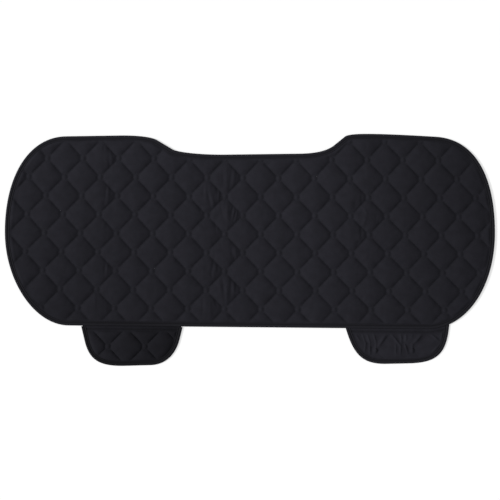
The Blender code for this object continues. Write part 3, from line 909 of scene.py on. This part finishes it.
# Pad, edge tape
# Smooth woven polyester tape, folded round the pressed border and sewn through with one topstitch. The fold is
# a soft roll, the stitching pulls a groove beside it, and the tape's edge stands up a little past the groove.
TAPE_THICKNESS = 0.0004
PAD_TAPE_Z = 0.0020
TAPE_STACK = 0.0051
BINDING_WIDTH = 0.0125
NOSE_STEPS = 10
TOPSTITCH_PITCH = 0.0033
ROLL = (                    # inset and drop below the crest, from the crest to the tape's inner edge
    (0.0042, 0.0),
    (0.0058, 0.0001),
    (0.0069, 0.0005),
    (0.0077, 0.0012),
    (0.0085, 0.0017),
    (0.0092, 0.0012),
    (0.0099, 0.0006),
    (0.0109, 0.0003),
    (0.0119, 0.0005),
    (0.0125, 0.0010),
)
BELOW_SHARE = 0.3           # the roll and the groove are this much flatter on the underside


def tape_profile(name):
    """The folded tape's section as a closed line. The sweep takes -x inwards from the edge and -y upwards."""
    half = TAPE_STACK / 2
    crest = ROLL[0][0]
    outer = [(inset, half + (half - drop)) for inset, drop in reversed(ROLL[1:])]
    for step in range(NOSE_STEPS + 1):
        angle = math.pi / 2 - math.pi * step / NOSE_STEPS
        outer.append((crest * (1 - math.cos(angle)), half + half * math.sin(angle)))
    outer += [(inset, drop * BELOW_SHARE) for inset, drop in ROLL[1:]]
    outer = np.array(outer)
    along = np.gradient(outer, axis=0)
    along /= np.linalg.norm(along, axis=1)[:, None]
    inner = outer + TAPE_THICKNESS * np.column_stack([-along[:, 1], along[:, 0]])
    section = np.vstack([outer, inner[::-1]])
    mesh = bpy.data.meshes.new(name)
    count = len(section)
    sides = [(i, (i + 1) % count) for i in range(count)]
    mesh.from_pydata([(-inset, -height, 0.0) for inset, height in section], sides, [])
    mark(mesh, "inset", section[:, 0])
    return new_piece(name, mesh)


TAPE_SIZES = {"Ripple height": 0.0003, "Ripple length": 0.016, "Wander": 0.0003}
GATHER_REACH = 0.003        # the ripples fade within this distance of the stitching
WANDER_LENGTH = 0.09
WANDER_SLICE = 5.0          # height at which the noise for the wander is taken


def taping_tree():
    """The tree that sweeps the tape's section along an edge and gathers it a little at the stitching."""
    tree, size = new_tree("taping", TAPE_SIZES, [("Section", "NodeSocketObject")])
    path = new_node(tree, "GeometryNodeMeshToCurve", {0: size["Geometry"]})
    level = new_node(tree, "GeometryNodeSetCurveNormal", {0: path.outputs[0]}, mode="Z_UP")
    section = new_node(tree, "GeometryNodeObjectInfo", {"Object": size["Section"]})
    profile = new_node(tree, "GeometryNodeMeshToCurve", {0: section.outputs["Geometry"]})
    swept = new_node(
        tree,
        "GeometryNodeCurveToMesh",
        {"Curve": level.outputs[0], "Profile Curve": profile.outputs[0], "Fill Caps": True},
    )
    inset = attribute(tree, "inset")
    x, y, z = position(tree)
    gather = (-((inset - GROOVE_INSET) / GATHER_REACH).squared()).exp()
    ripple = noise(tree, x / size["Ripple length"], y / size["Ripple length"], 0.0) * gather
    wander = (noise(tree, x / WANDER_LENGTH, y / WANDER_LENGTH, WANDER_SLICE) + 0.5) * size["Wander"]
    height = z + ripple * size["Ripple height"] + wander
    end_tree(tree, raised(tree, swept.outputs[0], height), size)
    return tree


TAPE_BLACK = (0.0130, 0.0127, 0.0167)
TAPE_SHADE_X = -0.323             # painted shade: the pad's tape is painted darkest here, over the left flap
TAPE_SHADE_SHARE = 0.24           # share of its colour that the painted shade takes away there
TAPE_SHADE_REACH = 0.12           # half width of the fade to either side
TAPE_SHADE_Y = -0.15              # only in front of this y


def woven_tape(name, brightness):
    """Woven tape: a fine cellular relief, smoother and darker than the face."""
    colour = tuple(channel * brightness for channel in TAPE_BLACK)
    made, tree, shader, place = cloth_shader(name, colour, roughness=0.75)
    x, y = x_and_y(tree, place)
    # painted light and shade: the pad's front tape is painted darker over the left flap, on top of the painted
    # light across the cover and the painted shade along the topstitch
    painted_shade = (-((x - TAPE_SHADE_X) / TAPE_SHADE_REACH).squared()).exp() * y.math("LESS_THAN", TAPE_SHADE_Y) * TAPE_SHADE_SHARE
    share = painted_light_falloff(tree, place, PAINTED_LIGHT_X, PAINTED_FADE_RIGHT) * painted_groove_shade(tree, GROOVE_REACH) * (1.0 - painted_shade)
    toned = scaled(tree, mottled(tree, place, colour, amount=0.10, scale=300.0), share)
    tree.links.new(toned, shader.inputs["Base Color"])
    shader.inputs["Specular IOR Level"].default_value = 0.10
    ribs = new_node(tree, "ShaderNodeTexVoronoi", {"Vector": place, "Scale": 1500.0, "Randomness": 0.4})
    bumped(tree, shader, ribs.outputs["Distance"], distance=0.0002, strength=0.4)
    return made


def taped(name, path, closed, low, surface):
    """Edge tape along a path, with its lowest point at this height."""
    piece = line_piece(name, [(path, closed)], at_height(low))
    grown(piece, taping, {**TAPE_SIZES, "Section": tape_section, "Material": surface})
    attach(piece, "root")
    return piece


tape_section = tape_profile("tape_section")
taping = taping_tree()
edge_tape = woven_tape("edge_tape", brightness=1.0)
tape_thread = thread_material("tape_thread", (0.0070, 0.0070, 0.0092))
pad_tape = taped("pad_tape", pad_edge.points, True, PAD_TAPE_Z, edge_tape)
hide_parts("pad_binding")
groove_drop = max(drop for _, drop in ROLL)
groove_top = TAPE_STACK - groove_drop
groove_low = groove_drop * BELOW_SHARE
groove_line = [(pad_edge.moved(GROOVE_INSET), True)]
for name, z in (("pad_topstitch", groove_top), ("pad_topstitch_below", groove_low)):
    stitched(name, groove_line, at_height(PAD_TAPE_Z + z), TOPSTITCH_PITCH, tape_thread)

# Front flaps
# Two small tongues of the same quilted cloth, bound on three sides and sewn in under the pad's front edge. That
# seam presses a strip flat along their top. The left one is painted darker, as a shaded copy of the face cloth
# and tape, the right one is painted lighter, as a lit copy of the face cloth, and the right one was packed
# folded and is creased upright all over.
FLAP_FACE_STEPS = 56        # finer than the pad's, for the sharp creases
FLAP_REACH = 0.035          # the sides run on under the pad by this much
FLAP_PANEL_EDGE_Z = 0.0020
FLAP_BACKING_EDGE_Z = 0.0011
FLAP_TUCK = 0.009           # the underside cloth goes in under the pad's edge by this much
TOP_GAP = 0.0002            # between the face cloth and the pad's edge
TOPSTITCH_END = 0.002       # the topstitch stops this far before the pad's edge
LEFT_FLAP_X = -0.3225
LEFT_FLAP_TOP = 0.2765
LEFT_FLAP_FOOT = 0.226
LEFT_FLAP_LENGTH = 0.1047
LEFT_FLAP_TILT = 0.006
LEFT_FLAP_CROSSING = (-0.3790, -0.2635)
RIGHT_FLAP_X = 0.4029
RIGHT_FLAP_TOP = 0.2835
RIGHT_FLAP_FOOT = 0.238
RIGHT_FLAP_SLEW = 0.0103
RIGHT_FLAP_LENGTH = 0.099
RIGHT_FLAP_TILT = 0.0053
RIGHT_FLAP_CROSSING = (0.3348, -0.2750)
RIGHT_FLAP_CREASES = (      # rows as in CREASES
    (0.295, -0.240, -33, 0.011, 0.0026, 0.0020),
    (0.311, -0.241, -19, 0.014, 0.0024, 0.0021),
    (0.315, -0.268, 6, 0.014, 0.0024, 0.0021),
    (0.324, -0.241, -17, 0.014, 0.0024, 0.0020),
    (0.328, -0.271, 0, 0.016, 0.0024, 0.0024),
    (0.341, -0.240, -15, 0.013, 0.0024, 0.0024),
    (0.344, -0.267, 3, 0.015, 0.0030, 0.0022),
    (0.361, -0.249, 32, 0.028, 0.0050, 0.0036),
    (0.399, -0.246, -38, 0.022, 0.0030, 0.0028),
    (0.412, -0.272, 0, 0.011, 0.0024, 0.0022),
    (0.399, -0.272, 0, 0.014, 0.0024, 0.0019),
    (0.413, -0.238, -6, 0.012, 0.0024, 0.0025),
    (0.420, -0.241, -4, 0.010, 0.0018, -0.0014),
    (0.427, -0.237, 0, 0.011, 0.0024, 0.0024),
    (0.427, -0.268, -17, 0.013, 0.0026, 0.0024),
    (0.444, -0.268, 0, 0.013, 0.0034, 0.0024),
    (0.461, -0.240, 42, 0.020, 0.0046, 0.0050),
    (0.444, -0.231, 10, 0.007, 0.0024, 0.0016),
    (0.507, -0.240, -50, 0.018, 0.0030, 0.0036),
    (0.525, -0.238, 4, 0.017, 0.0030, 0.0040),
    (0.510, -0.269, 44, 0.018, 0.0032, 0.0040),
    (0.410, -0.290, 90, 0.042, 0.0032, 0.0024),
)


def flap_edge(middle_x, top, foot_left, foot_right):
    """A flap's free edge: down its left side, along its foot and up its right side."""
    ends = []
    for foot, meet_x in ((foot_left, middle_x - top / 2), (foot_right, middle_x + top / 2)):
        slant = (meet_x - foot[0]) / (PAD_FRONT_Y - foot[1])
        ends.append((meet_x + slant * FLAP_REACH, PAD_FRONT_Y + FLAP_REACH, 0, 0, 0))
    return Edge([ends[0], foot_left, foot_right, ends[1]], closed=False)


def make_flap(side, edge, crossing, surface, tape_surface, creases, own_sizes):
    """One flap: quilted face, thread, underside cloth and tape."""
    quilt = Quilt(crossing)
    sizes = {**QUILT_SIZES, "Border height": FLAP_PANEL_EDGE_Z, **own_sizes}

    def below_pad(places):
        return -pad_edge.inset(places)

    def inset(places):
        return np.minimum(edge.inset(places), below_pad(places))

    def face_room(places):
        return np.minimum(edge.inset(places) - HIDDEN_EDGE, below_pad(places) - TOP_GAP)

    face = flat_sheet(side + "_flap_face", quilt, FLAP_FACE_STEPS, edge, face_room)
    places = mark_lattice(face, quilt, inset)
    mark(face.data, "folded", np.zeros(len(places)))
    mark(face.data, "crease", creased(places, creases))
    grown(face, quilting, {**sizes, "Material": surface})
    close_below(face, edge, [(0.0, FLAP_PANEL_EDGE_Z)])
    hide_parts(side + "_flap_panel")
    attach(face, "root")

    def seam_z(places):
        crease = (1.0 - sizes["Crease hold"]) * creased(places, creases)
        return seam_floor(inset(places), FLAP_PANEL_EDGE_Z, crease)

    seams = seam_lines(quilt, edge, lambda places: inset(places) - SEAM_BAND)
    stitched(side + "_flap_thread", seams, seam_z, STITCH_PITCH, quilting_thread)

    def backing_room(places):
        return np.minimum(edge.inset(places) - HIDDEN_EDGE, below_pad(places) + FLAP_TUCK)

    def backing_inset(places):
        return np.minimum(edge.inset(places), below_pad(places) + FLAP_TUCK)

    backing = backing_piece(
        side + "_flap_underside", quilt, edge, backing_room, backing_inset, FLAP_BACKING_EDGE_Z, backing_cloth
    )
    width, length = np.ptp(points_of(backing.data), axis=0)[:2]
    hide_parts(side + "_flap_backing")

    free = edge.points[below_pad(edge.points) > 0.0]
    tape = taped(side + "_flap_tape", free, False, 0.0, tape_surface)
    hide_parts(side + "_flap_binding")
    groove = edge.moved(GROOVE_INSET)
    groove = groove[below_pad(groove) > TOPSTITCH_END]
    stitched(
        side + "_flap_topstitch",
        [(groove, False)],
        at_height(groove_top),
        TOPSTITCH_PITCH,
        tape_thread,
    )
    join_line = pad_edge.moved(-GROOVE_INSET)
    join_line = join_line[edge.inset(join_line) > BINDING_WIDTH]
    join_line = join_line[join_line[:, 1] < 0.0]
    stitched(
        side + "_flap_join_stitch",
        [(join_line, False)],
        at_height(FLAP_PANEL_EDGE_Z + CRUSHED - GROOVE_DEPTH),
        STITCH_PITCH,
        tape_thread,
    )


left_foot_y = PAD_FRONT_Y - LEFT_FLAP_LENGTH
left_edge = flap_edge(
    LEFT_FLAP_X,
    LEFT_FLAP_TOP,
    (LEFT_FLAP_X - LEFT_FLAP_FOOT / 2, left_foot_y - LEFT_FLAP_TILT / 2, 0.074, 0.094, 0.75),
    (LEFT_FLAP_X + LEFT_FLAP_FOOT / 2, left_foot_y + LEFT_FLAP_TILT / 2, 0.063, 0.073, 0.64),
)
make_flap(
    "left",
    left_edge,
    LEFT_FLAP_CROSSING,
    # painted shade: a darker copy of the face cloth, with its own painted light falloff, and a darker copy of
    # the tape, for how the light falls on this flap
    brushed_face("brushed_face_dark", brightness=0.90, painted_light_x=-0.43, painted_fade_right=1.7),
    woven_tape("edge_tape_dark", brightness=0.78),
    (),
    {"Edge rise": 0.0042, "Seam roll": 0.0042},
)

right_foot_x = RIGHT_FLAP_X + RIGHT_FLAP_SLEW
right_foot_y = PAD_FRONT_Y - RIGHT_FLAP_LENGTH
right_edge = flap_edge(
    RIGHT_FLAP_X,
    RIGHT_FLAP_TOP,
    (right_foot_x - RIGHT_FLAP_FOOT / 2, right_foot_y - RIGHT_FLAP_TILT / 2, 0.090, 0.080, 0.75),
    (right_foot_x + RIGHT_FLAP_FOOT / 2, right_foot_y + RIGHT_FLAP_TILT / 2, 0.097, 0.089, 0.75),
)
make_flap(
    "right",
    right_edge,
    RIGHT_FLAP_CROSSING,
    # painted light: a lighter copy of the face cloth, with painted shade reaching wider along its stitched
    # edges
    brushed_face("brushed_face_light", brightness=1.17, groove_shade_reach=0.0052),
    edge_tape,
    RIGHT_FLAP_CREASES,
    {"Edge rise": 0.0006, "Crown": 0.0018, "Crease hold": 0.0},
)
bpy.data.objects.remove(tape_section)

# Floor, light and camera
# A plain white floor with soft daylight from the upper left, and a camera straight above the cover.
WHITE = (1.0, 1.0, 1.0, 1.0)
FLOOR_HALF = 6.0
FLOOR_Z = -0.0002
FLOOR_GREY = 0.40           # share of the light that the floor throws back
FLOOR_GLOW = 0.62           # added where the floor is seen, straight or mirrored, so that it comes out white
SUN_ELEVATION = 38.0
SUN_AZIMUTH = 178.0         # where the light comes from, anticlockwise from +X
SUN_SHARE = 0.60            # of the light on a level surface
SUN_ANGLE = 14.0            # how wide the sun is, in degrees, which softens the shadows
FRAME_WIDTH = 1.36665       # width of what the camera sees at the cover
COVER_Z = 0.005             # height at which that width is meant
CAMERA_X = 0.0002
CAMERA_Y = -0.0003
CAMERA_LENS = 85.0
CAMERA_SENSOR = 36.0

floor_mesh = bpy.data.meshes.new("floor")
corners = [(-1, -1), (1, -1), (1, 1), (-1, 1)]
floor_mesh.from_pydata([(x * FLOOR_HALF, y * FLOOR_HALF, FLOOR_Z) for x, y in corners], [], [(0, 1, 2, 3)])
floor = new_piece("floor", floor_mesh)
floor_white = bpy.data.materials.new("floor_white")
floor_white.use_nodes = True
floor_tree = floor_white.node_tree
floor_tree.nodes.clear()
matte = new_node(floor_tree, "ShaderNodeBsdfDiffuse", {"Color": (FLOOR_GREY, FLOOR_GREY, FLOOR_GREY, 1.0)})
glow = new_node(floor_tree, "ShaderNodeEmission", {"Color": WHITE, "Strength": FLOOR_GLOW})
both = new_node(floor_tree, "ShaderNodeAddShader", {0: matte.outputs[0], 1: glow.outputs[0]})
ray = floor_tree.nodes.new("ShaderNodeLightPath")
seen = Field(floor_tree, ray.outputs["Is Camera Ray"])
for kind in ("Is Glossy Ray", "Is Transmission Ray"):
    seen = seen.math("MAXIMUM", Field(floor_tree, ray.outputs[kind]))
mixed = new_node(floor_tree, "ShaderNodeMixShader", {0: seen, 1: matte.outputs[0], 2: both.outputs[0]})
new_node(floor_tree, "ShaderNodeOutputMaterial", {"Surface": mixed.outputs[0]})
floor_mesh.materials.append(floor_white)

sun_data = bpy.data.lights.new("key", "SUN")
sun_data.energy = SUN_SHARE * math.pi / math.sin(math.radians(SUN_ELEVATION))
sun_data.angle = math.radians(SUN_ANGLE)
sun = bpy.data.objects.new("key", sun_data)
sun.rotation_euler = (0.0, math.radians(90.0 - SUN_ELEVATION), math.radians(SUN_AZIMUTH))
bpy.context.scene.collection.objects.link(sun)

world = bpy.data.worlds.new("studio")
bpy.context.scene.world = world
world.use_nodes = True
sky_tree = world.node_tree
sky_tree.nodes.clear()
fill = new_node(sky_tree, "ShaderNodeBackground", {"Color": WHITE, "Strength": 1.0 - SUN_SHARE})
backdrop = new_node(sky_tree, "ShaderNodeBackground", {"Color": WHITE, "Strength": 1.0})
sky_ray = sky_tree.nodes.new("ShaderNodeLightPath")
sky_mix = new_node(
    sky_tree,
    "ShaderNodeMixShader",
    {0: sky_ray.outputs["Is Camera Ray"], 1: fill.outputs[0], 2: backdrop.outputs[0]},
)
new_node(sky_tree, "ShaderNodeOutputWorld", {"Surface": sky_mix.outputs[0]})

camera_data = bpy.data.cameras.new("camera")
camera_data.lens = CAMERA_LENS
camera_data.sensor_width = CAMERA_SENSOR
camera = bpy.data.objects.new("camera", camera_data)
camera.location = (CAMERA_X, CAMERA_Y, COVER_Z + FRAME_WIDTH * CAMERA_LENS / CAMERA_SENSOR)
bpy.context.scene.collection.objects.link(camera)
bpy.context.scene.camera = camera
bpy.context.scene.view_settings.view_transform = "Standard"
